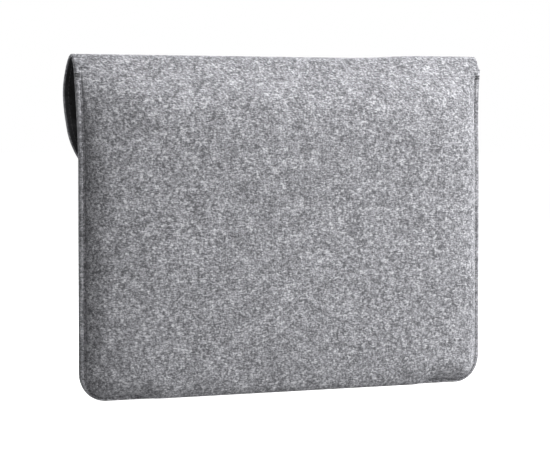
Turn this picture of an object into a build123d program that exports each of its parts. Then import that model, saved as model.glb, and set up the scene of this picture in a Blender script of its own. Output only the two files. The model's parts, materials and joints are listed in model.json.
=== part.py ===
from build123d import *

import math
import os

# A felt laptop sleeve standing on its folded base. X runs across the sleeve, Z is up and the front,
# which carries the flap, faces -Y. The origin is the middle of the base. All sizes are millimetres.
#
# The outer felt is one strip: front panel, bottom fold, back panel, shoulder and flap. The front and
# back are sewn together along a flange at each side, which runs round the lower corners. The top of
# the back panel leans over the mouth. Above the ends of the side seams the felt is free: it goes on as
# the shoulder and folds over as the flap, so the strip is divided at those two folds, where the bodies
# turn. A thin lining backs the felt all over.

# Overall shape
WIDTH = 346.0            # flange edge to flange edge
HEIGHT = 254.0           # base to the top of the fold
DEPTH = 24.0             # front face to back face of the filled-out bag
CORNER_R = 24.0          # lower corners of the outline
BAG_CORNER_R = 26.0      # lower corners of the bag inside the flange
EDGE_R = 6.5             # rounding of the bag along its sides and base

# Sheet materials
FELT_T = 2.2
LINING_T = 0.8
GLUE_GAP = 0.1           # between the felt and the lining

# Side seams
FLANGE_W = 4.5           # flange outside the bag
SEAM_INSET = 3.2         # stitch line, in from the edge of the flange
SEAM_LEAN = 7.5          # how far the top of the seams is drawn towards the front
SEAM_TOP_LEAN = 12.0     # degrees from upright at the top of the seams
LEAN_START = 80.0        # below the fold, where that lean begins
MOUTH_DROP = 10.0        # mouth of the pocket, below the fold
SEAM_STOP = 1.0          # end of the side seams, below the mouth
TACK_LENGTH = 7.0        # bar tack at the top of each seam
TACK_PASSES = 4          # stitches in each bar tack

# Leaning top of the back panel, and the shoulder that carries it on to the fold
LEAN_DROP = 40.0         # where the back panel begins to lean, below the top
LOWER_LEAN = 5.0         # degrees from upright there
FOLD_LEAN = 50.0         # degrees from upright where the shoulder meets the fold
SHOULDER_DROP = 2.0      # the shoulder's lower fold, below the ends of the side seams
FOLD_INNER_R = 0.5       # inside the lining at the fold
FOLD_FORWARD = 0.8       # middle of the fold, in front of the front panel
FOLD_TURN = 80.0         # degrees turned by the fold
FOLD_KEEP = 28.0         # degrees of the fold kept on each side of its hinge gap
HINGE_GAP = 1.4          # left open between the back panel and the shoulder
SHOULDER_SIDE_GAP = 0.6  # between the shoulder and the side seams
UNDER_SHOULDER = 0.7     # between the bag's side walls and the shoulder

# Flap
FLAP_SIDE_INSET = 0.8    # each side of the flap, in from the edge of the flange
FLAP_DROP = 98.0         # lower edge of the flap, below the fold
FLAP_CORNER_R = 44.0
FLAP_BULGE = 13.3        # outer face of the flap beyond the front panel, at its fullest
BULGE_DROP = 38.0        # where that is, below the fold
EDGE_STITCH_INSET = 3.5  # topstitching, in from the edge of the flap and of the mouth

# Hook-and-loop closure
PATCH_W = 100.0
PATCH_H = 18.0
PATCH_DROP = 80.0        # middle of the patches, below the fold
PATCH_R = 3.0
LOOP_T = 1.2
HOOK_T = 0.9
CLOSURE_GAP = 0.3        # between the hooks and the loops when closed
PATCH_STITCH_INSET = 1.8

# Thread
THREAD_W = 0.6
THREAD_PROUD = 0.4       # how far a stitch line stands above its sheet

HALF_W = WIDTH / 2
HALF_D = DEPTH / 2
LAYER_T = FELT_T + GLUE_GAP + LINING_T
MOUTH_Z = HEIGHT - MOUTH_DROP
SEAM_TOP_Z = MOUTH_Z - SEAM_STOP
SHOULDER_Z = SEAM_TOP_Z - SHOULDER_DROP
LEAN_Z = HEIGHT - LEAN_DROP
FOLD_R = LAYER_T + FOLD_INNER_R
FLANGE_ROOT = FLANGE_W + FELT_T / 2  # how far in the flange reaches, into the bag's side wall
FAR = 2 * (WIDTH + HEIGHT)  # longer than anything in the part
SAMPLES = 12             # points on an offset curve


def polar(centre, radius, degrees):
    """A point on a circle in the (y, z) section."""
    angle = math.radians(degrees)
    return (centre[0] + radius * math.cos(angle), centre[1] + radius * math.sin(angle))


# The section of the fold: an arc from FOLD_LEAN, facing back, over the top to the flap.
FOLD_CENTRE = (-HALF_D - FOLD_FORWARD, HEIGHT - FOLD_R)
FOLD_START = polar(FOLD_CENTRE, FOLD_R, FOLD_LEAN)
FLAP_ANGLE = FOLD_LEAN + FOLD_TURN
FLAP_START = polar(FOLD_CENTRE, FOLD_R, FLAP_ANGLE)
FLAP_TIP_Y = -HALF_D - LOOP_T - CLOSURE_GAP - HOOK_T - LAYER_T


def direction(degrees):
    """A unit vector in the section, measured from +Y towards +Z."""
    return polar((0, 0), 1, degrees)


# Outer face of the felt in the section, from where the back panel begins to lean up to the fold
LEAN_ENDS = [direction(90 + LOWER_LEAN), direction(90 + FOLD_LEAN)]
LEAN_LINE = Spline((HALF_D, LEAN_Z), FOLD_START, tangents=LEAN_ENDS)

# Hinge lines, both on the outer face of the felt
SHOULDER_AXIS = LEAN_LINE.find_intersection_points(Axis((0, SHOULDER_Z, 0), (1, 0, 0)))[0]
FLAP_AXIS = polar(FOLD_CENTRE, FOLD_R, FOLD_LEAN + FOLD_TURN / 2)
SHOULDER_SHARE = LEAN_LINE.param_at_point(SHOULDER_AXIS)
GAP_SHARE = HINGE_GAP / 2 / LEAN_LINE.length


def fold_arc(start, end):
    """Part of the fold's outer face, from one angle to the other."""
    stops = (start, (start + end) / 2, end)
    return ThreePointArc(*[polar(FOLD_CENTRE, FOLD_R, angle) for angle in stops])


def shoulder_curve():
    """Outer face of the shoulder in the section, from its lower fold up to the top fold."""
    return [LEAN_LINE.trim(SHOULDER_SHARE + GAP_SHARE, 1)]


def shoulder_line():
    return shoulder_curve() + [fold_arc(FOLD_LEAN, FOLD_LEAN + FOLD_KEEP)]


def flap_curve():
    """Outer face of the flap in the section, from the fold out and down to its lower edge."""
    bulge = (-HALF_D - FLAP_BULGE, HEIGHT - BULGE_DROP)
    closure = (FLAP_TIP_Y, HEIGHT - PATCH_DROP + PATCH_H)
    tip = (FLAP_TIP_Y, HEIGHT - FLAP_DROP)
    free = Spline(FLAP_START, bulge, closure, tangents=[direction(FLAP_ANGLE + 90), (0, -1)])
    return [free, Line(closure, tip)]


def flap_line():
    return [fold_arc(FLAP_ANGLE - FOLD_KEEP, FLAP_ANGLE)] + flap_curve()


def seam_line():
    """Middle of the side seam in the section, upright at the base and drawn forward at the top."""
    lean = (0, HEIGHT - LEAN_START)
    top = (-SEAM_LEAN, SEAM_TOP_Z)
    upper = Spline(lean, top, tangents=[(0, 1), direction(90 + SEAM_TOP_LEAN)])
    return [Line((0, -1), lean), upper]


def offset_edge(edge, distance):
    """A section edge moved to its left by distance."""
    points = []
    for i in range(SAMPLES + 1):
        place = edge.position_at(i / SAMPLES)
        along = edge.tangent_at(i / SAMPLES)
        points.append((place.X - along.Y * distance, place.Y + along.X * distance))
    if edge.geom_type == GeomType.LINE:
        return Line(points[0], points[-1])
    return Spline(*points)


def band(line, near, far):
    """The face between two offsets of a section line, measured to the line's left."""
    one = [offset_edge(edge, near) for edge in line]
    other = [offset_edge(edge, far) for edge in line]
    ends = [Line(one[0] @ 0, other[0] @ 0), Line(one[-1] @ 1, other[-1] @ 1)]
    return make_face(one + other + ends)


def across(face):
    """A section face drawn out along X, past both sides."""
    return extrude(Plane.YZ * face, WIDTH, both=True)


def through(face):
    """A front-view face drawn out along Y, past front and back."""
    return extrude(Plane.XZ * face, FAR, both=True)


def rounded_front(half_width, bottom, top, radius):
    """A front-view outline with square upper corners and rounded lower ones."""
    outline = Polyline(
        (-half_width, top), (-half_width, bottom), (half_width, bottom), (half_width, top), close=True
    )
    face = make_face(outline)
    lower = face.vertices().sort_by(Axis.Y)[:2]
    return fillet(lower, radius)


def bag_volume(inset):
    """The filled-out bag, taken in all round by inset and open-ended at the top."""
    half_width = HALF_W - FLANGE_W - inset
    face = rounded_front(half_width, inset, HEIGHT + DEPTH, BAG_CORNER_R - inset)
    solid = extrude(Plane.XZ * face, HALF_D - inset, both=True)
    rim = [
        e for e in solid.edges()
        if abs(abs(e.center().Y) - (HALF_D - inset)) < 0.01 and e.center().Z < HEIGHT
    ]
    return fillet(rim, EDGE_R - inset)


def far_out(edge, share):
    """A point far outside the bag, square to a section line at a share of its length."""
    place = edge.position_at(share)
    along = edge.tangent_at(share)
    return (place.X + along.Y * FAR, place.Y - along.X * FAR)


def behind_back(inset):
    """Everything outside the leaning top of the back panel, taken in by inset."""
    line = LEAN_LINE.trim(0, SHOULDER_SHARE - GAP_SHARE)
    edge = offset_edge(line, inset)
    low, high = edge @ 0, edge @ 1
    return across(make_face([edge, Polyline(high, far_out(line, 1), (FAR, low.Y), low)]))


def above_bag():
    """Everything that the bag's walls stay clear of: the shoulder, the mouth and what is above them."""
    line = LEAN_LINE.trim(SHOULDER_SHARE - GAP_SHARE, 1)
    under = offset_edge(line, LAYER_T + UNDER_SHOULDER)
    low, high = under @ 0, under @ 1
    over_shoulder = make_face([under, Polyline(high, (high.X, FAR), far_out(line, 0), low)])
    over_mouth = Pos(0, MOUTH_Z + FAR / 2) * Rectangle(FAR, FAR)
    return across(over_shoulder) + across(over_mouth)


def bag_inside(inset):
    """The filled-out bag with its leaning back, taken in all round by inset and open at the mouth."""
    return bag_volume(inset) - behind_back(inset)


def seam_outline(inset):
    """The outline of the sewn edge, taken in by inset and running up past the top."""
    return rounded_front(HALF_W - inset, inset, HEIGHT + DEPTH, CORNER_R - inset)


def make_flange():
    """Both layers of felt at the side seams and lower corners, outside the bag."""
    bag_side = rounded_front(HALF_W - FLANGE_ROOT, 0, HEIGHT + DEPTH, BAG_CORNER_R)
    plate = across(band(seam_line(), -FELT_T, FELT_T)) & through(seam_outline(0))
    return plate - through(bag_side)


def make_outer_felt(removed):
    return bag_inside(0) - removed + make_flange() - bag_inside(FELT_T)


def make_pocket_lining(removed):
    outer = FELT_T + GLUE_GAP
    return bag_inside(outer) - bag_inside(outer + LINING_T) - removed


def shoulder_outline():
    """Front view of the shoulder: between the seams below their ends, the full width above them."""
    half = HALF_W - FLANGE_ROOT - SHOULDER_SIDE_GAP
    clear_z = SEAM_TOP_Z + FELT_T
    low = Pos(0, clear_z - FAR / 2) * Rectangle(2 * half, FAR)
    high = Pos(0, clear_z + FAR / 2) * Rectangle(2 * (HALF_W - FLAP_SIDE_INSET), FAR)
    return low + high


def make_shoulder_felt():
    return across(band(shoulder_line(), 0, FELT_T)) & through(shoulder_outline())


def make_shoulder_lining():
    return across(band(shoulder_curve(), FELT_T + GLUE_GAP, LAYER_T)) & through(shoulder_outline())


def flap_outline(inset=0.0):
    half = HALF_W - FLAP_SIDE_INSET - inset
    return rounded_front(half, HEIGHT - FLAP_DROP + inset, HEIGHT + DEPTH, FLAP_CORNER_R - inset)


def make_flap_felt():
    return across(band(flap_line(), 0, FELT_T)) & through(flap_outline())


def make_flap_lining():
    return across(band(flap_curve(), FELT_T + GLUE_GAP, LAYER_T)) & through(flap_outline())


def make_flap_edge_thread():
    """Topstitching round the flap, on its felt and on its lining."""
    inset = EDGE_STITCH_INSET
    track = through(flap_outline(inset) - flap_outline(inset + THREAD_W))
    outside = across(band(flap_curve(), -THREAD_PROUD, 0)) & track
    inside = across(band(flap_curve(), LAYER_T, LAYER_T + THREAD_PROUD)) & track
    return [outside, inside]


def make_mouth_thread():
    """Topstitching along the mouth, on the front panel's felt and on its lining."""
    half = HALF_W - FLANGE_W - EDGE_R
    z = MOUTH_Z - EDGE_STITCH_INSET
    faces = (-HALF_D - THREAD_PROUD / 2, -HALF_D + LAYER_T + THREAD_PROUD / 2)
    return [Pos(0, y, z) * Box(2 * half, THREAD_PROUD, THREAD_W) for y in faces]


def make_seam_thread(side):
    """Both faces of one side seam, from the bar tack down and round the lower corner."""
    track = through(seam_outline(SEAM_INSET) - seam_outline(SEAM_INSET + THREAD_W))
    top = SEAM_TOP_Z - TACK_LENGTH
    window = Pos(side * FAR / 2, 0, top - FAR / 2) * Box(FAR, FAR, FAR)
    track = (track & window) - bag_volume(0)
    front = across(band(seam_line(), FELT_T, FELT_T + THREAD_PROUD)) & track
    back = across(band(seam_line(), -FELT_T - THREAD_PROUD, -FELT_T)) & track
    return [front, back]


def make_bar_tack(side):
    """Close stitches over the edge at the top of one side seam, one solid for each pass."""
    pitch = TACK_LENGTH / TACK_PASSES
    x_in = HALF_W - SEAM_INSET
    x_out = HALF_W + THREAD_PROUD
    around = across(band(seam_line(), -FELT_T - THREAD_PROUD, FELT_T + THREAD_PROUD))
    felt = across(band(seam_line(), -FELT_T, FELT_T))
    made = []
    for i in range(TACK_PASSES):
        z = SEAM_TOP_Z - pitch * (i + 0.5)
        whole = Pos(side * (x_in + x_out) / 2, z) * Rectangle(x_out - x_in, THREAD_W)
        core = Pos(side * (x_in + HALF_W) / 2, z) * Rectangle(HALF_W - x_in, 2 * THREAD_W)
        made.append((around & through(whole)) - (felt & through(core)) - bag_volume(0))
    return made


def patch_face(inset=0.0):
    face = Rectangle(PATCH_W - 2 * inset, PATCH_H - 2 * inset)
    return Pos(0, HEIGHT - PATCH_DROP) * fillet(face.vertices(), PATCH_R - inset)


def make_loop_patch():
    """The soft half of the closure, on the front panel."""
    return extrude(Plane.XZ.offset(HALF_D) * patch_face(), LOOP_T)


def make_hook_patch():
    """The stiff half of the closure, on the flap's lining."""
    return across(band(flap_curve(), LAYER_T, LAYER_T + HOOK_T)) & through(patch_face())


def patch_track():
    inset = PATCH_STITCH_INSET
    return through(patch_face(inset) - patch_face(inset + THREAD_W))


def make_hook_patch_thread():
    """The square of stitching that holds the hook patch, on the outside of the flap."""
    return across(band(flap_curve(), -THREAD_PROUD, 0)) & patch_track()


def make_loop_patch_thread():
    """The stitching that holds the loop patch, inside the pocket on the front lining."""
    y = -HALF_D + LAYER_T
    slab = Pos(0, y + THREAD_PROUD / 2, HEIGHT / 2) * Box(WIDTH, THREAD_PROUD, HEIGHT)
    return patch_track() & slab


def write(name, shape):
    solids = []
    for piece in shape if isinstance(shape, list) else [shape]:
        solids += piece.solids()
    made = solids[0] if len(solids) == 1 else Compound(children=solids)
    export_step(made, f"parts/{name}.step")


def main():
    os.makedirs("parts", exist_ok=True)
    removed = above_bag()
    write("outer_felt", make_outer_felt(removed))
    write("pocket_lining", make_pocket_lining(removed))
    write("shoulder_felt", make_shoulder_felt())
    write("shoulder_lining", make_shoulder_lining())
    write("flap_felt", make_flap_felt())
    write("flap_lining", make_flap_lining())
    write("flap_edge_thread", make_flap_edge_thread())
    write("mouth_thread", make_mouth_thread())
    for name, side in (("left", 1), ("right", -1)):
        write(f"{name}_seam_thread", make_seam_thread(side))
        write(f"{name}_bar_tack", make_bar_tack(side))
    write("loop_patch", make_loop_patch())
    write("loop_patch_thread", make_loop_patch_thread())
    write("hook_patch", make_hook_patch())
    write("hook_patch_thread", make_hook_patch_thread())
    print("shoulder axis (y, z)", (SHOULDER_AXIS.X, SHOULDER_AXIS.Y))
    print("flap axis (y, z)", FLAP_AXIS)


main()
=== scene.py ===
import json
import math
import random

import bmesh
import bpy
import numpy as np
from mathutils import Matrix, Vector, noise


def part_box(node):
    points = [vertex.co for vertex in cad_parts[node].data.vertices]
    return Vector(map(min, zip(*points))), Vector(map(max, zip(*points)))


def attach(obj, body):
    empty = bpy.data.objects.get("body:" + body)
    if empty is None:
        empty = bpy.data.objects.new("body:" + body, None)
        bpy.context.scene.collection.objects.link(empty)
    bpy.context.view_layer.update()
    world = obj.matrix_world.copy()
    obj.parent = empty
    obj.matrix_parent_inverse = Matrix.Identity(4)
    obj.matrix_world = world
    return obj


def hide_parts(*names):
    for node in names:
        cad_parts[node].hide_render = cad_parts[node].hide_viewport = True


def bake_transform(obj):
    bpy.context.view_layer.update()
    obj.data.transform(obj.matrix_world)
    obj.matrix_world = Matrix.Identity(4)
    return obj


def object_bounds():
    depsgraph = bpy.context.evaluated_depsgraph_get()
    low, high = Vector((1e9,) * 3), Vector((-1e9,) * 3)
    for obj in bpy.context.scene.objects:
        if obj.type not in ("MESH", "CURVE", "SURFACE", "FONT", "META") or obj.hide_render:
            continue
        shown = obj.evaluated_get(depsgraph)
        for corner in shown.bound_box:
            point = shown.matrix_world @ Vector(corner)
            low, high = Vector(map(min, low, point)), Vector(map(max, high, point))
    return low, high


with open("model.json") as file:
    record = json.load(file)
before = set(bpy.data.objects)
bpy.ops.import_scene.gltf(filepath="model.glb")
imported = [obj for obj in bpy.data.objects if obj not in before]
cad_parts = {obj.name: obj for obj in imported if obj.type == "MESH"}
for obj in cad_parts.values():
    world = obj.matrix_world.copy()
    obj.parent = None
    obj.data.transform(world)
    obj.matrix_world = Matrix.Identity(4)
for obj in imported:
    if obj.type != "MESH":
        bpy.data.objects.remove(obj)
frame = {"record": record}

# A felt laptop sleeve standing on its folded base, seen from behind. Lengths are in metres.
#
# Every sheet starts as a flat pattern: rows of points at set distances inside its cut outline, and a
# grid in the middle. A pattern point is (x, length up the sheet). It is then carried to its place in
# the sleeve, once for each face of the sheet, and the two faces are joined round the edge.

MM = 0.001
cad_low, cad_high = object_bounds()
_, bag_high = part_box("outer_felt")
flap_low, flap_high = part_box("flap_felt")
patch_low, patch_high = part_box("hook_patch")
loop_low, loop_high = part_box("loop_patch")
hinges = {j["name"]: Vector(j["pos_m"]) for j in frame["record"]["behaviour"]["joints"]}

HALF_W = bag_high[0]              # edge of the side flange
HALF_D = bag_high[1]              # back face of the filled-out bag
MOUTH = bag_high[2]               # top of the front panel
TOP = cad_high[2]                 # top of the fold
FLAP_HALF_W = flap_high[0]
FLAP_TIP = flap_low[2]            # lower edge of the flap
PATCH_HALF_W = patch_high[0]

FELT = 2.2 * MM
LINING = 0.8 * MM
SKIN_GAP = 0.05 * MM              # between the felt and the lining
LINING_TOP = FELT + SKIN_GAP      # depth of the lining's outer face below the felt's
INSIDE = LINING_TOP + LINING      # and of its inner face
CORNER_R = 21 * MM                # lower corners of the sleeve
FLAP_CORNER_R = 44 * MM
LINING_IN = 0.6 * MM              # the flap's lining is cut this much smaller than its felt

# Side seams
FLANGE_W = 4.7 * MM               # the part outside the stitch line and its groove
FLANGE_T = 1.55 * MM              # one layer, pressed by the seam
SEAM_END = MOUTH - 1.0 * MM
SEAM_BEND = TOP - 80 * MM         # the seams lean forward above this
SEAM_LEAN = 7.6 * MM              # how far forward the seams' tops have come
RIGHT_LEAN = 0.75                 # share of SEAM_LEAN on the -X side
RIGHT_FLARE = 7.0 * MM            # how far the top corner on the -X side is spread outwards
RIGHT_LIFT = 2.3 * MM             # how much higher that corner stands
TUCK = 1.6 * MM                   # how far the free edge starts behind the end of the flange
BAR_TACKS = (4.5 * MM, 5.1 * MM, 6.3 * MM, 6.9 * MM)   # passes of a bar tack, down from SEAM_END
SEAM_STITCH_DROP = 8 * MM         # the seam's own stitches end this far below SEAM_END

# Filling of the bag
PUFF = 15 * MM                    # width over which a panel rises from its flange
PILLOW = 5.0 * MM                 # how much lower a panel is beside the flange than in its middle
RIGHT_PILLOW = 1.5 * MM           # the same on the -X side
PILLOW_W = 48 * MM                # how far in from the flange a panel goes on rising
CROWN = 1.6 * MM                  # how far a panel's middle stands out
DRAWN = 0.6                       # share by which the back is drawn in at the seams' tops
GAPE = 2.2 * MM                   # how far the front stands off there
DRAWN_R = 24 * MM                 # how far round the seams' tops that reaches
FOLD_R = 7 * MM                   # rounding of the folded base
PINCH_OUT = 60 * MM               # the base is pinched this far in from each side
PINCH_MIDDLE = 40 * MM            # the pinched flange is widest this far in from each side
PINCH_SPREAD = 11 * MM
PINCH_WIDER = 0.3                 # and wider there by this share of FLANGE_W
BASE_FLANGE = 0.5                 # share of FLANGE_W left round the corners and in the pinch

# Unevenness, as (height, size) of slow and fine waves
PANEL_SLOW = (0.75 * MM, 95 * MM)
PANEL_FINE = (0.22 * MM, 26 * MM)
FLAP_SLOW = (1.1 * MM, 110 * MM)
FLAP_FINE = (0.25 * MM, 30 * MM)

# Spacing of pattern rows
ROW = 2.4 * MM
CLOSE_ROW = 0.8 * MM              # near the tops of the side seams
CLOSE_REACH = 6 * MM
BAG_LINING_ROW = 4 * MM
FLAP_LINING_ROW = 3 * MM
BAG_CORNER = 7                    # rows of the inner grid that end in a rounded corner
FLAP_CORNER = 9

# Stitching
EDGE_STITCH = 3.5 * MM            # topstitching, in from the edge of the mouth
PATCH_INSET = 1.8 * MM            # stitching round the hook and loop patches, in from their edges
PITCH = 3.0 * MM                  # from one stitch to the next
STITCH_LENGTH = 2.35 * MM
STITCH_W = 0.62 * MM
STITCH_LIFT = 0.16 * MM           # height of a stitch's middle over the cloth
PATCH_PITCH = 2.6 * MM
PATCH_STITCH = 2.0 * MM
TACK_R = 0.3 * MM

TINY = 1e-6                       # metres; nearer than this counts as touching


def smooth(value, low, high):
    """0 below low, 1 above high, and smooth between."""
    t = np.clip((np.asarray(value, float) - low) / (high - low), 0, 1)
    return t * t * (3 - 2 * t)


# ---- section of the strip -------------------------------------------------------------------------

STEP = 0.25 * MM                  # between points of a section line
EASE = 5 * MM                     # length over which its direction eases


def travel(start, turns):
    """Points (length, y, z, direction) along a section line that begins at start and has the direction
    in degrees, from +Y towards +Z, that turns gives at each length. Directions ease between turns."""
    lengths = np.arange(turns[0][0], turns[-1][0] + STEP, STEP)
    keys = np.array(turns, float)
    angle = np.radians(np.interp(lengths, keys[:, 0], keys[:, 1]))
    width = int(EASE / STEP) | 1
    ease = np.hanning(width + 2)[1:-1]
    padded = np.pad(angle, width // 2, mode="edge")
    angle = np.convolve(padded, ease / ease.sum(), mode="valid")
    y = start[0] + np.concatenate([[0], np.cumsum(np.cos(angle[:-1]) * STEP)])
    z = start[1] + np.concatenate([[0], np.cumsum(np.sin(angle[:-1]) * STEP)])
    return np.stack([lengths, y, z, angle], axis=1)


# The back panel is upright to 58 mm below the top, leans over the mouth, and eases at the neck.
BACK_TURNS = [
    (0, 90), (TOP - 58 * MM, 90), (TOP - 47 * MM, 94), (TOP - 39 * MM, 103), (TOP - 31 * MM, 118),
    (TOP - 22 * MM, 126), (TOP - 12 * MM, 125), (TOP - 5 * MM, 122), (TOP + 2 * MM, 120),
]
BACK_LINE = travel((HALF_D, 0), BACK_TURNS)
NECK_END = BACK_LINE[-1, 0]       # where the back sheet gives way to the flap's sheet
# The flap's sheet goes round the fold, out over the front and back in to the closure.
FLAP_LINE = travel(tuple(BACK_LINE[-1, 1:3]), [
    (0, 120), (3 * MM, 146), (6 * MM, 190), (10 * MM, 226), (19 * MM, 247), (31 * MM, 256),
    (45 * MM, 272), (59 * MM, 284), (75 * MM, 283), (89 * MM, 272), (112 * MM, 268),
])
FLAP_LINE = FLAP_LINE[FLAP_LINE[:, 2] > FLAP_TIP - 0.1 * MM]
FLAP_END = FLAP_LINE[-1, 0]
# Its lower half is moved so that its end lies on the closure.
CLOSED_Y = patch_low[1] - INSIDE
FLAP_FRONT = 30 * MM              # length from which the flap hangs on the front
FLAP_LINE[:, 1] += (CLOSED_Y - FLAP_LINE[-1, 1]) * smooth(FLAP_LINE[:, 0], FLAP_FRONT, 74 * MM)


def along(line, length):
    """y, z and the outward normal (y, z) at a length along a section line."""
    y = np.interp(length, line[:, 0], line[:, 1])
    z = np.interp(length, line[:, 0], line[:, 2])
    angle = np.interp(length, line[:, 0], line[:, 3])
    return y, z, np.sin(angle), -np.cos(angle)


def lean(x):
    """How far forward the top of the seam on the side of x has come."""
    return SEAM_LEAN * np.where(x > 0, 1.0, RIGHT_LEAN)


def flare(x, z):
    """x and z after the top corner on the -X side is spread outwards and lifted."""
    rise = np.clip((z - SEAM_BEND) / (TOP - SEAM_BEND), 0, 1) ** 2.5
    lift = RIGHT_LIFT * rise * smooth(-x, 60 * MM, 125 * MM)
    return x * (1 + RIGHT_FLARE / HALF_W * rise * (x < 0)), z + lift


def seam_line(length, back, x):
    """y and z of the middle of the side seam on the side of x. On the back sheet the line goes on
    above the seam's end as the sheet's free edge, up to the fold."""
    rise = np.clip((length - SEAM_BEND) / (SEAM_END - SEAM_BEND), 0, 1)
    y = -lean(x) * rise ** 1.5
    if not back:
        return y, length
    on = above_seam(length)
    fold_y, fold_z = BACK_LINE[-1, 1:3]
    z = np.minimum(length, SEAM_END) + (fold_z - SEAM_END) * on
    return y + (fold_y + lean(x)) * on, z


def above_seam(length):
    """0 up to the ends of the side seams, rising to 1 at the fold."""
    return np.clip((length - SEAM_END) / (NECK_END - SEAM_END), 0, 1)


# ---- flat patterns --------------------------------------------------------------------------------

class Pattern:
    """A flat sheet with rounded lower corners. insets gives the distance inside the outline of each
    of its border rows, for each point round the outline. Rows lie closer near the length close."""

    def __init__(self, half_w, radius, top, row, corner_count, insets, close=None):
        lengths = [top]
        while lengths[-1] > radius + row:
            near = close is not None and abs(lengths[-1] - close) < CLOSE_REACH
            lengths.append(lengths[-1] - (CLOSE_ROW if near else row))
        side = len(lengths)
        base = max(4, round(2 * (half_w - radius) / row))
        corner = corner_count * 2
        points = [(half_w, length) for length in lengths]
        normals = [(-1, 0)] * side
        for i in range(corner):
            a = math.pi / 2 * i / corner
            points.append((half_w - radius + radius * math.cos(a), radius - radius * math.sin(a)))
            normals.append((-math.cos(a), math.sin(a)))
        for i in range(base + 1):
            points.append((half_w - radius - 2 * (half_w - radius) * i / base, 0))
            normals.append((0, 1))
        points += [(-x, l) for x, l in reversed(points[:side + corner])]
        normals += [(-x, l) for x, l in reversed(normals[:side + corner])]
        self.outline = np.array(points)
        self.normals = np.array(normals, float)
        inset = insets(self)
        border = self.outline[:, None, :] + self.normals[:, None, :] * inset[:, :, None]
        self._fill(border, side + corner_count)

    def _fill(self, border, down):
        """A grid between the innermost border rows, which are down points long at each side."""
        m, k = border.shape[:2]
        inner = border[:, -1]
        left, right = inner[:down + 1], inner[::-1][:down + 1]
        floor = inner[down:m - down]
        u = (floor[:, 0] - floor[0, 0]) / (floor[-1, 0] - floor[0, 0])
        steps = np.linalg.norm(np.diff(left, axis=0), axis=1)
        v = np.concatenate([[0], np.cumsum(steps)]) / steps.sum()
        roof = left[0] + (right[0] - left[0]) * u[:, None]
        uu, vv = u[None, :, None], v[:, None, None]
        grid = (1 - uu) * left[:, None] + uu * right[:, None] + (1 - vv) * roof[None] + vv * floor[None]
        grid -= (1 - uu) * (1 - vv) * left[0] + uu * (1 - vv) * right[0]
        grid -= (1 - uu) * vv * left[-1] + uu * vv * right[-1]
        rows, columns = grid.shape[:2]
        index = np.zeros((rows, columns), int)
        index[:, 0] = np.arange(rows) * k + k - 1
        index[:, -1] = (m - 1 - np.arange(rows)) * k + k - 1
        index[-1, :] = (rows - 1 + np.arange(columns)) * k + k - 1
        free = (rows - 1) * (columns - 2)
        index[:-1, 1:-1] = m * k + np.arange(free).reshape(rows - 1, columns - 2)
        self.flat = np.concatenate([border.reshape(-1, 2), grid[:-1, 1:-1].reshape(-1, 2)])
        self.point = np.concatenate([np.repeat(np.arange(m), k), np.full(free, -1)])
        self.row = np.concatenate([np.tile(np.arange(k), m), np.full(free, k - 1)])
        edge = np.arange(m * k).reshape(m, k)
        self.faces = np.concatenate([self._quads(edge), self._quads(index)])
        top = index[0, ::-1][1:-1]
        self.loop = np.concatenate([edge[:, 0], edge[-1, 1:], top, edge[0, ::-1][:-1]])
        self.edge = edge

    @staticmethod
    def _quads(grid):
        """The faces of a grid of point numbers."""
        corners = (grid[:-1, :-1], grid[1:, :-1], grid[1:, 1:], grid[:-1, 1:])
        return np.stack([c.ravel() for c in corners], axis=1)


WELD = 0.004 * MM                 # points nearer than this become one
SLIVER = 0.002 * MM


def build(name, vertices, faces, butt=None):
    """A smooth mesh. Edges between the vertices that butt lists stay sharp, where two sheets meet."""
    mesh = bpy.data.meshes.new(name)
    mesh.from_pydata([tuple(v) for v in vertices], [], [tuple(int(i) for i in f) for f in faces])
    piece = bpy.data.objects.new(name, mesh)
    bpy.context.scene.collection.objects.link(piece)
    made = bmesh.new()
    made.from_mesh(mesh)
    bmesh.ops.remove_doubles(made, verts=made.verts, dist=WELD)
    bmesh.ops.dissolve_degenerate(made, edges=made.edges, dist=SLIVER)
    bmesh.ops.recalc_face_normals(made, faces=made.faces)
    made.to_mesh(mesh)
    made.free()
    mesh.polygons.foreach_set("use_smooth", [True] * len(mesh.polygons))
    if butt is not None:
        ends = {tuple(np.round(v, 7)) for v in vertices[butt]}
        at_end = [tuple(np.round(v.co, 7)) in ends for v in mesh.vertices]
        for edge in mesh.edges:
            edge.use_edge_sharp = all(at_end[i] for i in edge.vertices)
    mesh.update()
    return piece


def closed_sheet(name, pattern, outer, inner, butted=False):
    """A sheet of cloth from the two faces of a pattern, joined all round. A butted sheet's top end
    meets another sheet."""
    n = len(pattern.flat)
    loop = pattern.loop
    after = np.roll(loop, -1)
    rim = np.stack([loop, loop + n, after + n, after], axis=1)
    faces = np.concatenate([pattern.faces, pattern.faces[:, ::-1] + n, rim])
    end = None
    if butted:
        top = np.nonzero(pattern.flat[:, 1] > pattern.outline[0, 1] - TINY / 10)[0]
        end = np.concatenate([top, top + n])
    return build(name, np.concatenate([outer, inner]), faces, end)


# ---- the sewn bag ---------------------------------------------------------------------------------

# A border profile is a list of (distance in, height off the seam's middle, share of the way up to the
# panel, depth below the sheet's outer face). It has rows for the flange and for the puff beyond it.
FLANGE_ROWS = 10
PUFF_ROWS = 13
# The flange's outer face as (distance in, mm; height as a share of FLANGE_T): its rounded edge, its
# crown, and the groove of the stitch line.
FLANGE_FACE = (
    (0.40, 0.02), (0.08, 0.14), (0.0, 0.5), (0.05, 0.86), (0.45, 1.0), (1.5, 1.06),
    (2.5, 1.0), (3.2, 0.72), (3.9, 0.84), (4.5, 0.7),
)
GROOVE_ROW = 7
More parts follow.
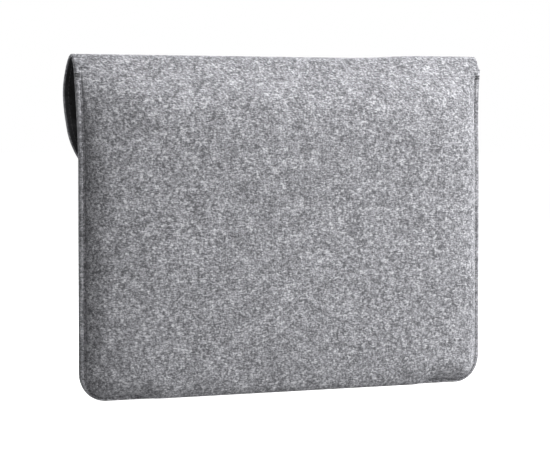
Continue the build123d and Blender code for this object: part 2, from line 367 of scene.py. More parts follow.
# The free edge above the seam as (distance in, mm; depth as a share of FELT).
FREE_EDGE = ((0.25, 0.97), (0.05, 0.85), (0.0, 0.5), (0.05, 0.15), (0.3, 0.0))
REACH = FLANGE_W + PUFF           # how far in a border goes


def shares(pattern):
    """For each outline point: how wide its flange is, and how far its edge is a fold or a free edge."""
    x = np.abs(pattern.outline[:, 0])
    length = pattern.outline[:, 1]
    at_base = pattern.normals[:, 1]
    on_base = length < TINY
    # Width of the flange: full at the sides, narrow round the corner, a little wider in the pinch.
    corner = 1 - (1 - BASE_FLANGE) * smooth(at_base, 0.15, 0.9)
    pinch = PINCH_WIDER * np.exp(-(((x - (HALF_W - PINCH_MIDDLE)) / PINCH_SPREAD) ** 2))
    pinch_in = HALF_W - PINCH_OUT
    base = BASE_FLANGE * smooth(x, pinch_in - 2 * MM, pinch_in + 12 * MM) + pinch
    flange = np.where(on_base, base, corner)
    fold = np.where(on_base, 1 - smooth(x, pinch_in - 6 * MM, pinch_in + 16 * MM), 0.0)
    free = smooth(length, SEAM_END - 0.4 * MM, SEAM_END + 1.4 * MM)
    return flange, fold, free


def flange_profile(depth):
    """The sewn side: a pressed flange, then the rise to the panel."""
    if depth == 0:
        rows = [(s * MM, a * FLANGE_T, 0, 0) for s, a in FLANGE_FACE]
        start, rise = FLANGE_W, 0.55 * FLANGE_T
    else:
        first = 0.45 * MM if depth <= FELT else FLANGE_W + 0.9 * MM
        start, rise = FLANGE_W + 0.5 * MM + depth * 0.5, 0.02 * FLANGE_T
        in_from = np.arange(FLANGE_ROWS) / FLANGE_ROWS * (start - first) + first
        rows = [(s, rise, 0, depth) for s in in_from]
    for i in range(PUFF_ROWS):
        a = math.pi / 2 * i / (PUFF_ROWS - 1)
        s = start + (REACH - start) * (1 - math.cos(a)) ** 1.15
        rows.append((s, rise * (1 - math.sin(a)), math.sin(a), depth))
    return np.array(rows)


def fold_profile(depth):
    """The folded base: half of the fold's flat underside, then its rounding."""
    flat = 1 - FOLD_R / HALF_D
    rows = [(depth, 0, flat * i / FLANGE_ROWS, depth) for i in range(FLANGE_ROWS)]
    for i in range(PUFF_ROWS):
        a = math.pi / 2 * i / (PUFF_ROWS - 1)
        s = depth + FOLD_R * (1 - math.cos(a)) + (REACH - depth - FOLD_R) * (i / (PUFF_ROWS - 1)) ** 3
        rows.append((s, 0, flat + (1 - flat) * math.sin(a), depth))
    return np.array(rows)


def free_profile(depth):
    """A free edge: the rounding of cut felt, then plain cloth."""
    count = FLANGE_ROWS + PUFF_ROWS
    if depth == 0:
        rows = [(s * MM, 0, 1, d * FELT) for s, d in FREE_EDGE]
        first = 0.3 * MM
    else:
        first = 0.3 * MM if depth <= FELT else 1.6 * MM
        rows = [(first, 0, 1, depth)]
    left = count - len(rows)
    rows += [(first + (REACH - first) * (i + 1) / left, 0, 1, depth) for i in range(left)]
    return np.array(rows)


def bag_profiles(pattern, depth, back=True):
    """The profile at each outline point, as an array (point, row, value)."""
    flange, fold, free = (share[:, None, None] for share in shares(pattern))
    sewn = np.repeat(flange_profile(depth)[None], len(pattern.outline), axis=0)
    narrow = flange[:, :, 0] * np.ones_like(sewn[:, :, 0])
    rows = np.arange(sewn.shape[1])
    puffed = np.clip((rows - FLANGE_ROWS) / (PUFF_ROWS - 1), 0, 1)[None]
    sewn[:, :, 0] = sewn[:, :, 0] * narrow + (REACH - REACH * narrow) * puffed ** 1.5
    mixed = sewn + (fold_profile(depth)[None] - sewn) * fold
    loose = np.repeat(free_profile(depth)[None], len(pattern.outline), axis=0)
    # The free edge starts behind the end of the flange and joins the sheet's plain section at the fold.
    left = 1 - above_seam(pattern.outline[:, 1])[:, None]
    left = left * (1 - smooth(loose[:, :, 0], 1.5 * MM, REACH))
    loose[:, :, 2] = 1 - left
    tuck = TUCK * (1 - smooth(loose[:, :, 0], 1.5 * MM, 6 * MM)) if back else 0
    loose[:, :, 1] = (FELT - loose[:, :, 3] - tuck) * left
    return mixed + (loose - mixed) * free


def bag_pattern(top, row=ROW, depth=0):
    """The flat pattern of the bag's front or back, up to the length top."""
    def insets(pattern):
        return bag_profiles(pattern, depth)[:, :, 0]
    return Pattern(HALF_W, CORNER_R, top, row, BAG_CORNER, insets, SEAM_END)


def ripple(x, length, seed, size):
    """Slow unevenness of a stuffed panel, between about -1 and 1."""
    points = zip(np.ravel(x) / size, np.ravel(length) / size)
    return np.array([noise.noise(Vector((a, b, seed))) for a, b in points]).reshape(np.shape(x)) * 1.6


def panel_swell(x, length, back):
    """How far a panel stands out from its plain section: a low crown that falls off towards the sides,
    and unevenness."""
    from_side = smooth(HALF_W - np.abs(x), 14 * MM, 60 * MM)
    from_base = smooth(length, 8 * MM, 45 * MM)
    if back:
        crowned = 1 - smooth(length, TOP - 70 * MM, TOP - 36 * MM)
        hollow = 1 - smooth(length, TOP - 48 * MM, TOP - 16 * MM)
        uneven = 1 - smooth(length, NECK_END - 24 * MM, NECK_END - 6 * MM)
    else:
        hollow = 1
        crowned = uneven = 1 - smooth(length, FLAP_TIP - 30 * MM, FLAP_TIP + 4 * MM)
    crown = CROWN * (1 - (x / HALF_W) ** 2) * from_base * crowned
    slow_h, slow_size = PANEL_SLOW
    fine_h, fine_size = PANEL_FINE
    slow = slow_h * ripple(x, length, 3.1 if back else 7.7, slow_size) * from_side * from_base
    fine = fine_h * ripple(x, length, 11.3 if back else 17.9, fine_size)
    in_from_flange = np.clip((HALF_W - np.abs(x) - FLANGE_W) / PILLOW_W, 0, 1)
    pillow = np.where(x > 0, PILLOW, RIGHT_PILLOW)
    crown = crown - pillow * (1 - in_from_flange) ** 2 * hollow
    return crown + (slow + fine * smooth(HALF_W - np.abs(x), 9 * MM, 24 * MM)) * uneven


def place_bag(pattern, depth, back):
    """Carries a pattern of the bag's front or back to its place, at a depth below the outer face."""
    profile = bag_profiles(pattern, depth, back)
    n = len(pattern.flat)
    values = np.zeros((n, 3))
    values[:] = (0, 1, depth)
    edge = pattern.point >= 0
    values[edge] = profile[pattern.point[edge], pattern.row[edge], 1:]
    x, length = pattern.flat[:, 0], pattern.flat[:, 1]
    rise, share, below = values[:, 0], values[:, 1], values[:, 2]
    side = 1 if back else -1
    if back:
        y, z, ny, nz = along(BACK_LINE, length)
    else:
        y, z, ny, nz = np.full(n, -HALF_D), length, np.full(n, -1.0), np.zeros(n)
    swell = panel_swell(x, length, back)
    face_y, face_z = y + ny * swell, z + nz * swell
    sy, sz = seam_line(length, back, x)
    # Near the tops of the seams the panel is drawn in towards them.
    away = np.hypot(np.abs(x) - (HALF_W - FLANGE_W), (length - SEAM_END) * 0.55)
    near = np.exp(-((away / DRAWN_R) ** 2)) * share * (1 - above_seam(length))
    drawn = DRAWN * near if back else 0
    # The front panel gapes a little there instead.
    gape = 0 if back else GAPE * near
    out_y = sy + side * rise + (face_y - ny * below - sy) * share - drawn * (face_y - sy) - gape
    out_z = sz + (face_z - nz * below - sz) * share - drawn * (face_z - sz)
    out_x, out_z = flare(x, out_z)
    return np.stack([out_x, out_y, out_z], axis=1)


# ---- the flap -------------------------------------------------------------------------------------

# The flap's outer face near its edge as (distance in, mm; depth as a share of FELT): the rounding of
# the cut edge, and the groove that the topstitching presses into the felt.
FLAP_FACE = (
    (0.25, 0.97), (0.05, 0.85), (0, 0.5), (0.05, 0.15), (0.35, 0), (1.4, -0.03), (2.6, -0.01),
    (3.1, 0.08), (3.5, 0.14), (3.9, 0.08), (4.4, -0.01), (6, 0), (9, 0),
)
FLAP_GROOVE_ROW = 8
FLAP_LINING_STITCH_ROW = 4


def flap_rows(depth):
    """Border rows of the flap: (distance in, depth)."""
    if depth == 0:
        return np.array([(s * MM, d * FELT) for s, d in FLAP_FACE])
    first = 0.3 * MM if depth <= FELT else LINING_IN
    last, steps = FLAP_FACE[-1][0] * MM, len(FLAP_FACE) - 1
    return np.array([(first + (last - first) * i / steps, depth) for i in range(steps + 1)])


def flap_pattern(row=ROW, depth=0):
    """The flat pattern of the flap; lengths are from its tip up."""
    def insets(p):
        return np.repeat(flap_rows(depth)[None, :, 0], len(p.outline), axis=0)
    return Pattern(FLAP_HALF_W, FLAP_CORNER_R, FLAP_END, row, FLAP_CORNER, insets)


def flap_unevenness(x, length, z):
    """Slow waves in the flap, none at the fold and none where the closure holds it."""
    loose = smooth(length, 12 * MM, 40 * MM)
    beside = smooth(np.abs(x), PATCH_HALF_W, PATCH_HALF_W + 35 * MM)
    above = smooth(z, patch_high[2], patch_high[2] + 25 * MM)
    slow_h, slow_size = FLAP_SLOW
    fine_h, fine_size = FLAP_FINE
    waves = slow_h * ripple(x, length, 23.7, slow_size) + fine_h * ripple(x, length, 29.9, fine_size)
    return waves * loose * np.maximum(beside, above)


def place_flap(pattern, depth):
    """Carries a pattern of the flap to its place, at a depth below its outer face."""
    rows = flap_rows(depth)
    below = np.full(len(pattern.flat), float(depth))
    edge = pattern.point >= 0
    below[edge] = rows[pattern.row[edge], 1]
    x, up = pattern.flat[:, 0], pattern.flat[:, 1]
    length = FLAP_END - up
    y, z, ny, nz = along(FLAP_LINE, length)
    shift = flap_unevenness(x, length, z) - below
    out_x, out_z = flare(x, z)
    return np.stack([out_x, y + ny * shift, out_z + nz * shift], axis=1)


# ---- stitches, bar tacks and patches --------------------------------------------------------------

STITCH_SIDES = 8
STITCH_RINGS = (-1.0, -0.86, -0.5, 0.0, 0.5, 0.86, 1.0)


def joined(parts):
    """Vertices and faces of several small meshes as one."""
    vertices, faces, start = [], [], 0
    for points, corners in parts:
        vertices.append(points)
        faces += [[i + start for i in face] for face in corners]
        start += len(points)
    return np.concatenate(vertices), faces


def ring_faces(rings, sides):
    """Faces of a tube of rings with closed ends."""
    faces = []
    for r in range(rings - 1):
        for k in range(sides):
            a, b = r * sides + k, r * sides + (k + 1) % sides
            faces.append([a, b, b + sides, a + sides])
    faces.append(list(range(sides))[::-1])
    faces.append(list(range((rings - 1) * sides, rings * sides)))
    return faces


def unit(vectors):
    """Vectors at a length of 1."""
    return vectors / np.maximum(np.linalg.norm(vectors, axis=-1, keepdims=True), 1e-12)


def stitch(centre, way, out, length, width, lift):
    """One stitch: a twisted two-ply thread that rises from the cloth and dives back in."""
    side = unit(np.cross(way, out))
    rings = []
    for t in STITCH_RINGS:
        middle = centre + way * t * length / 2 + out * lift * (1 - 1.7 * t * t)
        radius = width / 2 * math.sqrt(max(1 - 0.8 * t * t, 0.1))
        for k in range(STITCH_SIDES):
            a = 2 * math.pi * k / STITCH_SIDES
            lobed = radius * (1 + 0.16 * math.cos(2 * a + 4.5 * t))
            rings.append(middle + lobed * (math.cos(a) * side + math.sin(a) * out))
    return np.array(rings), ring_faces(len(STITCH_RINGS), STITCH_SIDES)


def sample(far, values, where):
    """A row of values at a distance along a path, whose points are as far along it as far says."""
    return np.array([np.interp(where, far, values[:, c]) for c in range(3)])


def stitches(path, out, pitch=PITCH, length=STITCH_LENGTH):
    """Stitches at even distances along a path; out is the cloth's outward normal at each path point."""
    beside = 0.6 * MM
    steps = np.linalg.norm(np.diff(path, axis=0), axis=1)
    far = np.concatenate([[0], np.cumsum(steps)])
    count = int(far[-1] / pitch)
    made = []
    for i in range(count):
        at = (i + 0.5) * far[-1] / count
        centre, normal = sample(far, path, at), unit(sample(far, out, at))
        way = unit(sample(far, path, at + beside) - sample(far, path, at - beside))
        made.append(stitch(centre, way, normal, length, STITCH_W, STITCH_LIFT))
    return made


def row_path(pattern, placed, row, chosen, outward):
    """The points of one border row of a placed pattern, and the cloth's normals there."""
    line = placed[pattern.edge[chosen, row]]
    across = placed[pattern.edge[chosen, row + 1]] - placed[pattern.edge[chosen, row - 1]]
    normal = unit(np.cross(np.gradient(line, axis=0), across))
    flip = np.sign(normal @ np.array(outward, float))
    return line, normal * np.where(flip == 0, 1, flip)[:, None]


def tube(path, radius, sides=6):
    """A round thread along a path that lies in a plane of constant z."""
    way = unit(np.gradient(path, axis=0))
    up = np.array([0, 0, 1.0])
    side = unit(np.cross(way, up))
    angle = 2 * math.pi * np.arange(sides) / sides
    rings = path[:, None] + radius * (
        np.cos(angle)[None, :, None] * side[:, None] + np.sin(angle)[None, :, None] * up
    )
    return rings.reshape(-1, 3), ring_faces(len(path), sides)


def tack_pass(side, z):
    """One pass of a bar tack: over the edge of the flange, from one face to the other."""
    half = FLANGE_T * 1.12
    corners = np.array([
        (3.9 * MM, half * 0.55), (3.3 * MM, half), (1.9 * MM, half * 1.06), (0.5 * MM, half),
        (-0.12 * MM, half * 0.5), (-0.12 * MM, -half * 0.5), (0.5 * MM, -half), (1.9 * MM, -half * 1.06),
        (3.3 * MM, -half), (3.9 * MM, -half * 0.55),
    ])
    where = np.linspace(0, len(corners) - 1, 37)
    ease = np.interp(where, np.arange(len(corners)), corners[:, 0])
    off = np.interp(where, np.arange(len(corners)), corners[:, 1])
    for _ in range(3):
        ease[1:-1] = (ease[:-2] + 2 * ease[1:-1] + ease[2:]) / 4
        off[1:-1] = (off[:-2] + 2 * off[1:-1] + off[2:]) / 4
    middle, _ = seam_line(np.array(z), False, side)
    x, z = flare(side * (HALF_W - ease), np.full(len(ease), z))
    path = np.stack([x, middle + off, z], axis=1)
    return tube(path, TACK_R)


def flap_face(x, z, depth):
    """A point of the flap at a height on its lower half, and the flap's outward normal."""
    lower = FLAP_LINE[FLAP_LINE[:, 0] > FLAP_FRONT]
    length = np.interp(z, lower[::-1, 2], lower[::-1, 0])
    y, at_z, ny, nz = along(FLAP_LINE, length)
    shift = flap_unevenness(np.array([x]), np.array([length]), np.array([at_z]))[0] - depth
    return np.array([x, y + ny * shift, at_z + nz * shift]), np.array([0, ny, nz])


def rectangle(low, high, inset, step=1.0 * MM):
    """Points (x, z) round a patch, in from its edges."""
    left, right = low[0] + inset, high[0] - inset
    down, up = low[2] + inset, high[2] - inset
    corners = [(left, down), (right, down), (right, up), (left, up), (left, down)]
    sides = []
    for a, b in zip(corners, corners[1:]):
        count = max(2, round(math.dist(a, b) / step))
        sides.append(np.linspace(a, b, count + 1))
    return sides


def patch_base(low, high, near, far):
    """A thin woven tape with rounded corners. near and far give y at (x, z) on its two faces."""
    radius, rings, bevel = 3 * MM, 9, 0.12 * MM
    half = np.array([(high[0] - low[0]) / 2, (high[2] - low[2]) / 2])
    middle_z = (high[2] + low[2]) / 2
    outline = []
    for sx, sz, start in ((1, 1, 0), (-1, 1, 90), (-1, -1, 180), (1, -1, 270)):
        for a in np.radians(np.arange(start, start + 91, 15)):
            outline.append(((half[0] - radius) * sx + radius * math.cos(a),
                            (half[1] - radius) * sz + radius * math.sin(a)))
    outline = np.array(outline)
    spine = np.clip(outline, [-(half[0] - half[1]), 0], [half[0] - half[1], 0])
    vertices, faces = [], []
    for face, inset in ((near, 0.0), (far, bevel)):
        for i in range(rings):
            flat = spine + (outline - spine) * (1 - i / rings) * (1 - inset / half[1])
            vertices += [(x, face(x, middle_z + z), middle_z + z) for x, z in flat]
        vertices += [(x, face(x, middle_z + z), middle_z + z) for x, z in spine]
    count, layer = len(outline), (rings + 1) * len(outline)
    for start in (0, layer):
        for i in range(rings):
            for k in range(count):
                a, b = start + i * count + k, start + i * count + (k + 1) % count
                faces.append([a, b, b + count, a + count])
    faces += [[k, layer + k, layer + (k + 1) % count, (k + 1) % count] for k in range(count)]
    return np.array(vertices), faces


def hair(start, out, lean, height, width, points):
    """A bent bristle: it stands out from start and curls over along lean."""
    path = np.array([start + out * height * h + lean * height * l for h, l in points])
    side = unit(np.cross(out, lean))
    rings = []
    for i, centre in enumerate(path):
        way = unit(path[min(i + 1, len(path) - 1)] - path[max(i - 1, 0)])
        other = np.cross(way, side)
        rings += [centre + width / 2 * (c * side + d * other) for c, d in SQUARE]
    return np.array(rings), ring_faces(len(path), 4)


SQUARE = ((1, 0), (0, 1), (-1, 0), (0, -1))
# Bristles as (height, lean), in shares of their height.
HOOK_SHAPE = ((0, 0), (0.45, 0.02), (0.85, 0.15), (1.0, 0.42), (0.88, 0.68), (0.66, 0.72))
LOOP_SHAPE = ((0, -0.35), (0.5, -0.5), (0.9, -0.3), (1.0, 0), (0.9, 0.3), (0.5, 0.5), (0, 0.35))


def pile(low, high, pitch, base, out, height, width, shape, seed, spread):
    """Rows of hooks or loops over a patch. spread is how far, in degrees, they turn from their row."""
    chance = random.Random(seed)
    made = []
    inset = 2.6 * MM
    columns = int((high[0] - low[0] - 2 * inset) / pitch)
    rows = int((high[2] - low[2] - 2 * inset) / pitch)
    for i in range(columns + 1):
        for k in range(rows + 1):
            x = low[0] + inset + i * pitch + chance.uniform(-0.1, 0.1) * pitch
            z = low[2] + inset + k * pitch + (i % 2) * 0.5 * pitch * (k < rows)
            turn = math.radians(chance.uniform(-spread, spread) + (180 if i % 2 else 0))
            lean = np.array([math.sin(turn), 0, math.cos(turn)])
            start = np.array([x, base(x, z), z])
            made.append(hair(start, out, lean, height * chance.uniform(0.85, 1), width, shape))
    return made


# ---- materials ------------------------------------------------------------------------------------

class Nodes:
    """A small helper that builds a material's nodes."""

    def __init__(self, name):
        self.material = bpy.data.materials.new(name)
        self.material.use_nodes = True
        self.tree = self.material.node_tree
        self.shader = self.tree.nodes["Principled BSDF"]
        self.position = self.add("ShaderNodeTexCoord").outputs["Object"]

    def add(self, kind, **values):
        node = self.tree.nodes.new(kind)
        for key, value in values.items():
            setattr(node, key, value)
        return node

    def link(self, output, socket):
        self.tree.links.new(output, socket)

    def spread(self, x, y, z, turn=(0, 0, 0)):
        """Object coordinates turned and scaled unevenly."""
        node = self.add("ShaderNodeMapping")
        node.inputs["Scale"].default_value = (x, y, z)
        node.inputs["Rotation"].default_value = [math.radians(a) for a in turn]
        self.link(self.position, node.inputs["Vector"])
        return node.outputs["Vector"]

    def grain(self, scale, detail=2, roughness=0.5, vector=None):
        """Noise with a number of cells to the metre."""
        node = self.add("ShaderNodeTexNoise")
        node.inputs["Scale"].default_value = scale
        node.inputs["Detail"].default_value = detail
        node.inputs["Roughness"].default_value = roughness
        self.link(vector or self.position, node.inputs["Vector"])
        return node.outputs["Fac"]

    def stretch(self, value, low, high, to_low, to_high):
        """A value moved from one range to another."""
        node = self.add("ShaderNodeMapRange")
        for key, number in zip(("From Min", "From Max", "To Min", "To Max"), (low, high, to_low, to_high)):
            node.inputs[key].default_value = number
        self.link(value, node.inputs["Value"])
        return node.outputs["Result"]

    def math(self, operation, one, other):
        node = self.add("ShaderNodeMath", operation=operation)
        for socket, value in zip(node.inputs, (one, other)):
            if isinstance(value, (int, float)):
                socket.default_value = value
            else:
                self.link(value, socket)
        return node.outputs[0]

    def ramp(self, value, stops):
        """The colour at a value between stops (place, colour)."""
        node = self.add("ShaderNodeValToRGB")
        elements = node.color_ramp.elements
        while len(elements) < len(stops):
            elements.new(0.5)
        for element, (place, colour) in zip(elements, stops):
            element.position = place
            element.color = (*colour, 1)
        self.link(value, node.inputs["Fac"])
        return node.outputs["Color"]

    def bump(self, height, strength, distance):
        node = self.add("ShaderNodeBump")
        node.inputs["Strength"].default_value = strength
        node.inputs["Distance"].default_value = distance
        self.link(height, node.inputs["Height"])
        self.link(node.outputs["Normal"], self.shader.inputs["Normal"])

    def finish(self, roughness, sheen=0.0, sheen_roughness=0.5, tint=(1, 1, 1), specular=0.3):
        self.shader.inputs["Roughness"].default_value = roughness
        self.shader.inputs["Sheen Weight"].default_value = sheen
        self.shader.inputs["Sheen Roughness"].default_value = sheen_roughness
        self.shader.inputs["Sheen Tint"].default_value = (*tint, 1)
        self.shader.inputs["Specular IOR Level"].default_value = specular
        return self.material


def fibres(nodes, length, thickness):
    """Short fibres lying in several directions: the lightest of four stretched grains."""
    mixed = None
    for turn in ((0, 25, 0), (0, 70, 10), (0, 118, -12), (0, 160, 6)):
        vector = nodes.spread(1 / length, 1 / thickness, 1 / thickness, turn)
        one = nodes.grain(1.0, 1, 0.5, vector)
        mixed = one if mixed is None else nodes.math("MAXIMUM", mixed, one)
    return mixed


def felt_material(name, dark, middle, light):
    """Pressed wool felt: pale and dark fibres, matted in small tufts, over slow cloudiness."""
    nodes = Nodes(name)
    pale = nodes.stretch(fibres(nodes, 3.4 * MM, 0.8 * MM), 0.52, 0.8, 0, 1)
    deep = nodes.stretch(nodes.grain(1 / (1.7 * MM), 2, 0.55), 0.3, 0.7, 0, 1)
    tufts = nodes.stretch(nodes.grain(1 / (4.2 * MM), 2, 0.5), 0.3, 0.7, 0, 1)
    clouds = nodes.stretch(nodes.grain(1 / (15 * MM), 2, 0.5), 0.3, 0.7, 0, 1)
    value = nodes.math("MULTIPLY", pale, 0.34)
    for part, share in ((deep, 0.36), (tufts, 0.2), (clouds, 0.1)):
        value = nodes.math("ADD", value, nodes.math("MULTIPLY", part, share))
    stops = [(0.04, dark), (0.5, middle), (0.96, light)]
    colour = nodes.ramp(nodes.stretch(value, 0.22, 0.78, 0, 1), stops)
    nodes.link(colour, nodes.shader.inputs["Base Color"])
    height = nodes.math("ADD", nodes.math("MULTIPLY", pale, 0.6), deep)
    nodes.bump(height, 0.6, 0.3 * MM)
    return nodes.finish(0.95, sheen=0.2, sheen_roughness=0.5, tint=(0.92, 0.94, 1), specular=0.12)


def flannel_material(name, dark, light):
    """Brushed flannel: a fine nap over cloudy dyeing."""
    nodes = Nodes(name)
    nap = fibres(nodes, 1.8 * MM, 0.4 * MM)
    clouds = nodes.grain(1 / (6 * MM), 3, 0.55)
    value = nodes.math("ADD", nodes.math("MULTIPLY", nap, 0.6), nodes.math("MULTIPLY", clouds, 0.5))
    colour = nodes.ramp(nodes.stretch(value, 0.5, 0.85, 0, 1), [(0.1, dark), (0.9, light)])
    nodes.link(colour, nodes.shader.inputs["Base Color"])
    nodes.bump(value, 0.5, 0.15 * MM)
    return nodes.finish(0.9, sheen=0.3, sheen_roughness=0.4, tint=(0.5, 0.5, 0.55), specular=0.15)


def thread_material(name, dark, light, size=0.25 * MM, roughness=0.7):
    """Spun thread or woven tape, whose fibres vary in tone."""
    nodes = Nodes(name)
    ply = nodes.grain(1 / size, 2, 0.6)
    wear = nodes.grain(1 / (5 * MM), 2, 0.5)
    tone = nodes.math("ADD", nodes.math("MULTIPLY", ply, 0.7), nodes.math("MULTIPLY", wear, 0.3))
    nodes.link(nodes.ramp(tone, [(0.36, dark), (0.64, light)]), nodes.shader.inputs["Base Color"])
    nodes.bump(ply, 0.4, 0.05 * MM)
    return nodes.finish(roughness, sheen=0.15, specular=0.3)


felt = felt_material("heather_felt", (0.10, 0.10, 0.107), (0.27, 0.271, 0.288), (0.56, 0.56, 0.585))
flannel = flannel_material("charcoal_flannel", (0.03, 0.03, 0.031), (0.082, 0.082, 0.087))
thread = thread_material("grey_thread", (0.045, 0.045, 0.049), (0.12, 0.12, 0.127))
patch_thread = thread_material("patch_thread", (0.13, 0.13, 0.138), (0.24, 0.24, 0.25))
loop_pile = thread_material("loop_pile", (0.018, 0.018, 0.02), (0.05, 0.05, 0.055), 0.4 * MM, 0.85)
hook_plastic = thread_material("hook_plastic", (0.016, 0.016, 0.018), (0.04, 0.04, 0.043), 0.6 * MM, 0.45)


def dress(piece, material, body, replaced=()):
    """Gives a piece its material and slot, and the body it rides on unless it blends."""
    piece.data.materials.append(material)
    if isinstance(body, str):
        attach(piece, body)
    else:
        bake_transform(piece)
    if replaced:
        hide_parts(*replaced)
    return piece


# ---- sheets ---------------------------------------------------------------------------------------

shoulder_hinge = hinges["shoulder_fold"]
SHOULDER_BLEND = (
    "sleeve", "shoulder",
    shoulder_hinge + Vector((0, 0, 1 * MM)), shoulder_hinge + Vector((0, 0, 6.5 * MM)),
)
# FLAP_BLEND names the shoulder and the flap, and a span that starts past the whole of the neck's end,
# lining and all.
neck_y, neck_z, neck_ny, neck_nz = along(BACK_LINE, NECK_END)
neck_inside = Vector((0, neck_y, neck_z)) - INSIDE * Vector((0, neck_ny, neck_nz))
FLAP_BLEND = ("shoulder", "flap", neck_inside, neck_inside + Vector((0, -5.5 * MM, -0.55 * MM)))


def add_bag():
    """The felt of the front, and of the back with the neck above it."""
    for name, back, top, body, node in (
        ("front_felt", False, MOUTH, "sleeve", "outer_felt"),
        ("back_felt", True, NECK_END, SHOULDER_BLEND, "shoulder_felt"),
    ):
        pattern = bag_pattern(top)
        faces = [place_bag(bag_pattern(top, ROW, d), d, back) for d in (0, FELT)]
        piece = dress(closed_sheet(name, pattern, *faces, back), felt, body, [node])


def add_lining():
    """The lining of the front, and of the back with the neck above it."""
    for name, back, top, body, node in (
        ("front_lining", False, MOUTH, "sleeve", "pocket_lining"),
        ("back_lining", True, NECK_END, SHOULDER_BLEND, "shoulder_lining"),
    ):
        patterns = [bag_pattern(top, BAG_LINING_ROW, d) for d in (LINING_TOP, INSIDE)]
        faces = [place_bag(p, d, back) for p, d in zip(patterns, (LINING_TOP, INSIDE))]
        piece = dress(closed_sheet(name, patterns[0], *faces, back), flannel, body, [node])


def add_flap():
    """The flap's felt and lining."""
    faces = [place_flap(flap_pattern(ROW, d), d) for d in (0, FELT)]
    piece = closed_sheet("flap_sheet", flap_pattern(), *faces, True)
    dress(piece, felt, FLAP_BLEND, ["flap_felt"])
    patterns = [flap_pattern(FLAP_LINING_ROW, d) for d in (LINING_TOP, INSIDE)]
    faces = [place_flap(p, d) for p, d in zip(patterns, (LINING_TOP, INSIDE))]
    piece = closed_sheet("flap_lining_sheet", patterns[0], *faces, True)
    dress(piece, flannel, FLAP_BLEND, ["flap_lining"])


def add_thread(name, parts, body, node, material=thread):
    """Stitches of one row, as one piece."""
    piece = build(name, *joined(parts))
    return dress(piece, material, body, [node])


def add_seam_stitches():
    """The seam's thread lies in the groove of the flange, on both faces."""
    for name, side in (("left", 1), ("right", -1)):
        parts = []
        for back, outward in ((True, (0, 1, 0)), (False, (0, -1, 0))):
            pattern = bag_pattern(NECK_END if back else MOUTH)
            placed = place_bag(pattern, 0, back)
            x, length = side * pattern.outline[:, 0], pattern.outline[:, 1]
            chosen = np.nonzero((x > HALF_W - 30 * MM) & (length < SEAM_END - SEAM_STITCH_DROP))[0]
            parts += stitches(*row_path(pattern, placed, GROOVE_ROW, chosen, outward))
        add_thread(f"{name}_seam_stitches", parts, "sleeve", f"{name}_seam_thread")
        passes = [tack_pass(side, SEAM_END - drop) for drop in BAR_TACKS]
        add_thread(f"{name}_tack_stitches", passes, "sleeve", f"{name}_bar_tack")


def add_flap_stitches():
    """Topstitching round the flap, on its felt and on its lining."""
    parts = []
    for row_size, depth, row, outward in (
        (ROW, 0, FLAP_GROOVE_ROW, (0, -1, 0)),
        (FLAP_LINING_ROW, INSIDE, FLAP_LINING_STITCH_ROW, (0, 1, 0)),
    ):
        pattern = flap_pattern(row_size, depth)
        placed = place_flap(pattern, depth)
        chosen = np.nonzero(pattern.outline[:, 1] < FLAP_END - 14 * MM)[0]
        parts += stitches(*row_path(pattern, placed, row, chosen, outward))
    add_thread("flap_stitches", parts, "flap", "flap_edge_thread")


def add_mouth_stitches():
    """Topstitching along the mouth, on the felt and on the lining."""
    half = HALF_W - 11 * MM
    z = MOUTH - EDGE_STITCH
    x = np.linspace(-half, half, 200)
    parts = []
    for y, outward in ((-HALF_D, -1.0), (-HALF_D + INSIDE, 1.0)):
        out_x, out_z = flare(x, np.full_like(x, z))
        path = np.stack([out_x, np.full_like(x, y), out_z], axis=1)
        parts += stitches(path, np.tile([0, outward, 0], (len(x), 1)))
    add_thread("mouth_stitches", parts, "sleeve", "mouth_thread")


def back_of_flap(x, z):
    """y of the inner face of the flap's lining."""
    return flap_face(x, z, INSIDE)[0][1]


def front_panel(x, z):
    """y of the front panel's face."""
    return -HALF_D


def off(face, distance):
    """The face moved by a distance in y."""
    def moved(x, z):
        return face(x, z) + distance
    return moved


def add_patches():
    """The hook patch inside the flap, the loop patch on the front, and the stitches round both."""
    tape, sunk = 0.35 * MM, 0.3 * MM
    hook_base = patch_base(patch_low, patch_high, back_of_flap, off(back_of_flap, tape))
    hooks = pile(patch_low, patch_high, 1.9 * MM, off(back_of_flap, sunk), np.array([0, 1.0, 0]),
                 0.52 * MM, 0.22 * MM, HOOK_SHAPE, 5, 6)
    piece = build("hook_tape", *joined([hook_base] + hooks))
    dress(piece, hook_plastic, "flap", ["hook_patch"])
    loop_base = patch_base(loop_low, loop_high, front_panel, off(front_panel, -0.4 * MM))
    loops = pile(loop_low, loop_high, 1.35 * MM, off(front_panel, -sunk), np.array([0, -1.0, 0]),
                 0.8 * MM, 0.24 * MM, LOOP_SHAPE, 9, 70)
    piece = build("loop_tape", *joined([loop_base] + loops))
    dress(piece, loop_pile, "sleeve", ["loop_patch"])
    outside, inside = [], []
    for side in rectangle(patch_low, patch_high, PATCH_INSET):
        placed = [flap_face(x, z, 0) for x, z in side]
        outside += stitches(*(np.array(v) for v in zip(*placed)), PATCH_PITCH, PATCH_STITCH)
        path = np.array([(x, -HALF_D + INSIDE, z) for x, z in side])
        inside += stitches(path, np.tile([0, 1.0, 0], (len(path), 1)), PATCH_PITCH, PATCH_STITCH)
    add_thread("hook_tape_stitches", outside, "flap", "hook_patch_thread", patch_thread)
    add_thread("loop_tape_stitches", inside, "sleeve", "loop_patch_thread", patch_thread)


# ---- surroundings ---------------------------------------------------------------------------------

MIDDLE = (0, 0, 130 * MM)
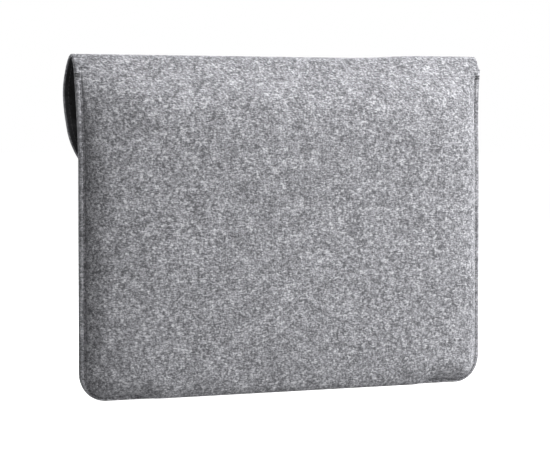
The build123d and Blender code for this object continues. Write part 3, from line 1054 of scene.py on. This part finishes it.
# Area lights as (name, azimuth, elevation, distance, size, watts).
LIGHTS = (
    ("key", 228, 38, 1.1, (0.6, 0.5), 12.4),
    ("side", 248, 8, 0.9, (0.5, 0.4), 6),
    ("top", 182, 80, 1.2, (1.0, 0.5), 8.0),
    ("bounce", 195, -50, 0.9, (1.2, 0.8), 2.2),    # what a white floor would send back up
    ("fill_front", 20, 40, 2.0, (1.5, 1.2), 30),
)
WORLD_STRENGTH = 0.34
CAMERA_TARGET = (10.1 * MM, 0, 125.8 * MM)
CAMERA_FROM = (150.56, 2.08, 2.029)                # azimuth, elevation, distance
CAMERA_LENS = 176.2
CAMERA_SENSOR = 36


def add_stage():
    """A white floor inside a white dome. Neither throws light or a shadow on the sleeve."""
    bpy.ops.mesh.primitive_plane_add(size=40)
    floor = bpy.context.object
    floor.name = "floor"
    bpy.ops.mesh.primitive_uv_sphere_add(radius=19, segments=64, ring_count=32)
    dome = bpy.context.object
    dome.name = "dome"
    for piece, glow, white in ((floor, 0.84, 0.5), (dome, 1.0, 0.0)):
        paint = Nodes(f"{piece.name}_paint")
        paint.shader.inputs["Base Color"].default_value = (white, white, white, 1)
        paint.shader.inputs["Emission Color"].default_value = (1, 1, 1, 1)
        paint.shader.inputs["Emission Strength"].default_value = glow
        piece.data.materials.append(paint.finish(0.9, specular=0))
        piece.visible_diffuse = piece.visible_glossy = False
    dome.visible_shadow = floor.visible_shadow = False


def add_light(name, place, size, watts):
    """A rectangular area light that faces the middle of the sleeve."""
    data = bpy.data.lights.new(name, "AREA")
    data.shape = "RECTANGLE"
    data.size, data.size_y = size
    data.energy = watts
    lamp = bpy.data.objects.new(name, data)
    bpy.context.scene.collection.objects.link(lamp)
    lamp.location = place
    lamp.rotation_euler = (Vector(MIDDLE) - Vector(place)).to_track_quat("-Z", "Y").to_euler()


def around(azimuth, elevation, distance, centre):
    """The point at a distance from centre, in the direction that a view from azimuth and elevation has."""
    a, e = math.radians(azimuth), math.radians(elevation)
    return Vector(centre) + distance * Vector(
        (math.sin(a) * math.cos(e), -math.cos(a) * math.cos(e), math.sin(e))
    )


def add_camera():
    """The photograph's viewpoint: behind the sleeve, to its +X side."""
    data = bpy.data.cameras.new("camera")
    data.lens, data.sensor_width = CAMERA_LENS, CAMERA_SENSOR
    camera = bpy.data.objects.new("camera", data)
    bpy.context.scene.collection.objects.link(camera)
    camera.location = around(*CAMERA_FROM, CAMERA_TARGET)
    camera.rotation_euler = (Vector(CAMERA_TARGET) - camera.location).to_track_quat("-Z", "Y").to_euler()
    bpy.context.scene.camera = camera


def add_world():
    """Even, dim light from all round."""
    world = bpy.data.worlds.new("world")
    bpy.context.scene.world = world
    world.use_nodes = True
    background = world.node_tree.nodes["Background"]
    background.inputs["Color"].default_value = (1, 1, 1, 1)
    background.inputs["Strength"].default_value = WORLD_STRENGTH


add_camera()
add_bag()
add_lining()
add_flap()
add_seam_stitches()
add_flap_stitches()
add_mouth_stitches()
add_patches()
add_stage()
add_world()
bpy.context.scene.view_settings.view_transform = "Standard"
for light_name, azimuth, elevation, distance, light_size, power in LIGHTS:
    add_light(light_name, around(azimuth, elevation, distance, MIDDLE), light_size, power)
